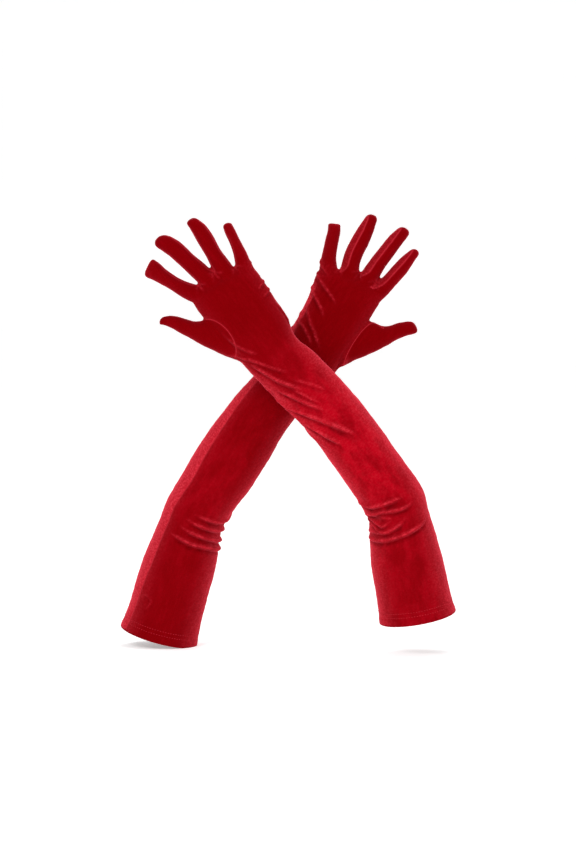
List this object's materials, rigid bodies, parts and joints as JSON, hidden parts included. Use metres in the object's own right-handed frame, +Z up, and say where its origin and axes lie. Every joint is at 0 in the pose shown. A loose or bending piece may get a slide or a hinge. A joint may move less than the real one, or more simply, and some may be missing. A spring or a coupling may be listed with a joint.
{
  "type": "opera gloves",
  "caption": "Long stretch-velvet opera gloves that reach past the elbow, with set-in thumbs, strips between the fingers and plain stitched hems, shown worn on crossed arms.",
  "frame": {"origin": "midway between the centres of the two cuffs, where the wearer's arms hold the pair up", "axes": "+Z up, from the cuffs to the fingertips; palms face -Y; +X towards the cuff of the left glove, which is the one in front"},
  "size_m": [0.3838, 0.1683, 0.5057],
  "materials": {
    "velvet": "short dense pile, deep red, lighter where it is seen edge on",
    "velvet_strip": "the same velvet, with its pile lying the other way",
    "velvet_inside": "matt knitted back of the velvet",
    "thread": "fine polyester sewing thread"
  },
  "bodies": {
    "right_upper": {"right_upper_sleeve": "velvet", "right_hem_turn_up": "velvet_inside", "right_hem_stitch_lower": "thread", "right_hem_stitch_upper": "thread", "right_side_seam_upper": "velvet_inside"},
    "right_forearm": {"right_forearm_sleeve": "velvet", "right_side_seam_forearm": "velvet_inside"},
    "right_palm": {"right_hand": "velvet", "right_thumb_seam": "thread", "right_side_seam_hand": "velvet_inside"},
    "right_thumb": {"right_thumb": "velvet"},
    "right_index": {"right_index_fourchette_little_side": "velvet_strip", "right_index_stall": "velvet"},
    "right_middle": {"right_middle_fourchette_little_side": "velvet_strip", "right_middle_fourchette_thumb_side": "velvet_strip", "right_middle_stall": "velvet"},
    "right_ring": {"right_ring_fourchette_little_side": "velvet_strip", "right_ring_fourchette_thumb_side": "velvet_strip", "right_ring_stall": "velvet"},
    "right_little": {"right_little_fourchette_thumb_side": "velvet_strip", "right_little_stall": "velvet"},
    "left_upper": {"left_upper_sleeve": "velvet", "left_hem_turn_up": "velvet_inside", "left_hem_stitch_lower": "thread", "left_hem_stitch_upper": "thread", "left_side_seam_upper": "velvet_inside"},
    "left_forearm": {"left_forearm_sleeve": "velvet", "left_side_seam_forearm": "velvet_inside"},
    "left_palm": {"left_hand": "velvet", "left_thumb_seam": "thread", "left_side_seam_hand": "velvet_inside"},
    "left_thumb": {"left_thumb": "velvet"},
    "left_index": {"left_index_fourchette_little_side": "velvet_strip", "left_index_stall": "velvet"},
    "left_middle": {"left_middle_fourchette_little_side": "velvet_strip", "left_middle_fourchette_thumb_side": "velvet_strip", "left_middle_stall": "velvet"},
    "left_ring": {"left_ring_fourchette_little_side": "velvet_strip", "left_ring_fourchette_thumb_side": "velvet_strip", "left_ring_stall": "velvet"},
    "left_little": {"left_little_fourchette_thumb_side": "velvet_strip", "left_little_stall": "velvet"}
  },
  "joints": [
    {"name": "right_elbow", "type": "hinge", "parent": "right_upper", "child": "right_forearm", "pos_m": [-0.11017, 0.02213, 0.12568], "axis": [0, 1, 0], "range_deg": [-10, 15]},
    {"name": "right_wrist", "type": "hinge", "parent": "right_forearm", "child": "right_palm", "pos_m": [0.01938, 0.02213, 0.30596], "axis": [0.849, 0, -0.5284], "range_deg": [-20, 20]},
    {"name": "right_thumb_base", "type": "hinge", "parent": "right_palm", "child": "right_thumb", "pos_m": [0.08261, 0.02213, 0.33375], "axis": [-0.5284, 0, -0.849], "range_deg": [-10, 40]},
    {"name": "right_index_knuckle", "type": "hinge", "parent": "right_palm", "child": "right_index", "pos_m": [0.10952, 0.02213, 0.39061], "axis": [0.7738, 0, -0.6334], "range_deg": [-10, 60]},
    {"name": "right_middle_knuckle", "type": "hinge", "parent": "right_palm", "child": "right_middle", "pos_m": [0.09468, 0.02213, 0.40574], "axis": [0.8231, 0, -0.5678], "range_deg": [-10, 60]},
    {"name": "right_ring_knuckle", "type": "hinge", "parent": "right_palm", "child": "right_ring", "pos_m": [0.07183, 0.02213, 0.41313], "axis": [0.9278, 0, -0.373], "range_deg": [-10, 60]},
    {"name": "right_little_knuckle", "type": "hinge", "parent": "right_palm", "child": "right_little", "pos_m": [0.04894, 0.02213, 0.41572], "axis": [0.9942, 0, -0.108], "range_deg": [-10, 60]},
    {"name": "left_glove_slide", "type": "slide", "parent": "right_upper", "child": "left_upper", "axis": [0, -1, 0], "range_m": [0, 0.3]},
    {"name": "left_elbow", "type": "hinge", "parent": "left_upper", "child": "left_forearm", "pos_m": [0.12644, -0.05098, 0.14178], "axis": [0, -1, 0], "range_deg": [-8, 12]},
    {"name": "left_wrist", "type": "hinge", "parent": "left_forearm", "child": "left_palm", "pos_m": [-0.01297, -0.05098, 0.31455], "axis": [0.8039, 0, 0.5948], "range_deg": [-15, 35]},
    {"name": "left_thumb_base", "type": "hinge", "parent": "left_palm", "child": "left_thumb", "pos_m": [-0.07822, -0.05098, 0.33717], "axis": [-0.5948, 0, 0.8039], "range_deg": [-10, 45]},
    {"name": "left_index_knuckle", "type": "hinge", "parent": "left_palm", "child": "left_index", "pos_m": [-0.10961, -0.05098, 0.3917], "axis": [0.4478, 0, 0.8942], "range_deg": [-10, 70]},
    {"name": "left_middle_knuckle", "type": "hinge", "parent": "left_palm", "child": "left_middle", "pos_m": [-0.09602, -0.05098, 0.40797], "axis": [0.6046, 0, 0.7965], "range_deg": [-10, 70]},
    {"name": "left_ring_knuckle", "type": "hinge", "parent": "left_palm", "child": "left_ring", "pos_m": [-0.07384, -0.05098, 0.41717], "axis": [0.8415, 0, 0.5402], "range_deg": [-10, 70]},
    {"name": "left_little_knuckle", "type": "hinge", "parent": "left_palm", "child": "left_little", "pos_m": [-0.05123, -0.05098, 0.42158], "axis": [0.9415, 0, 0.3371], "range_deg": [-10, 70]}
  ]
}
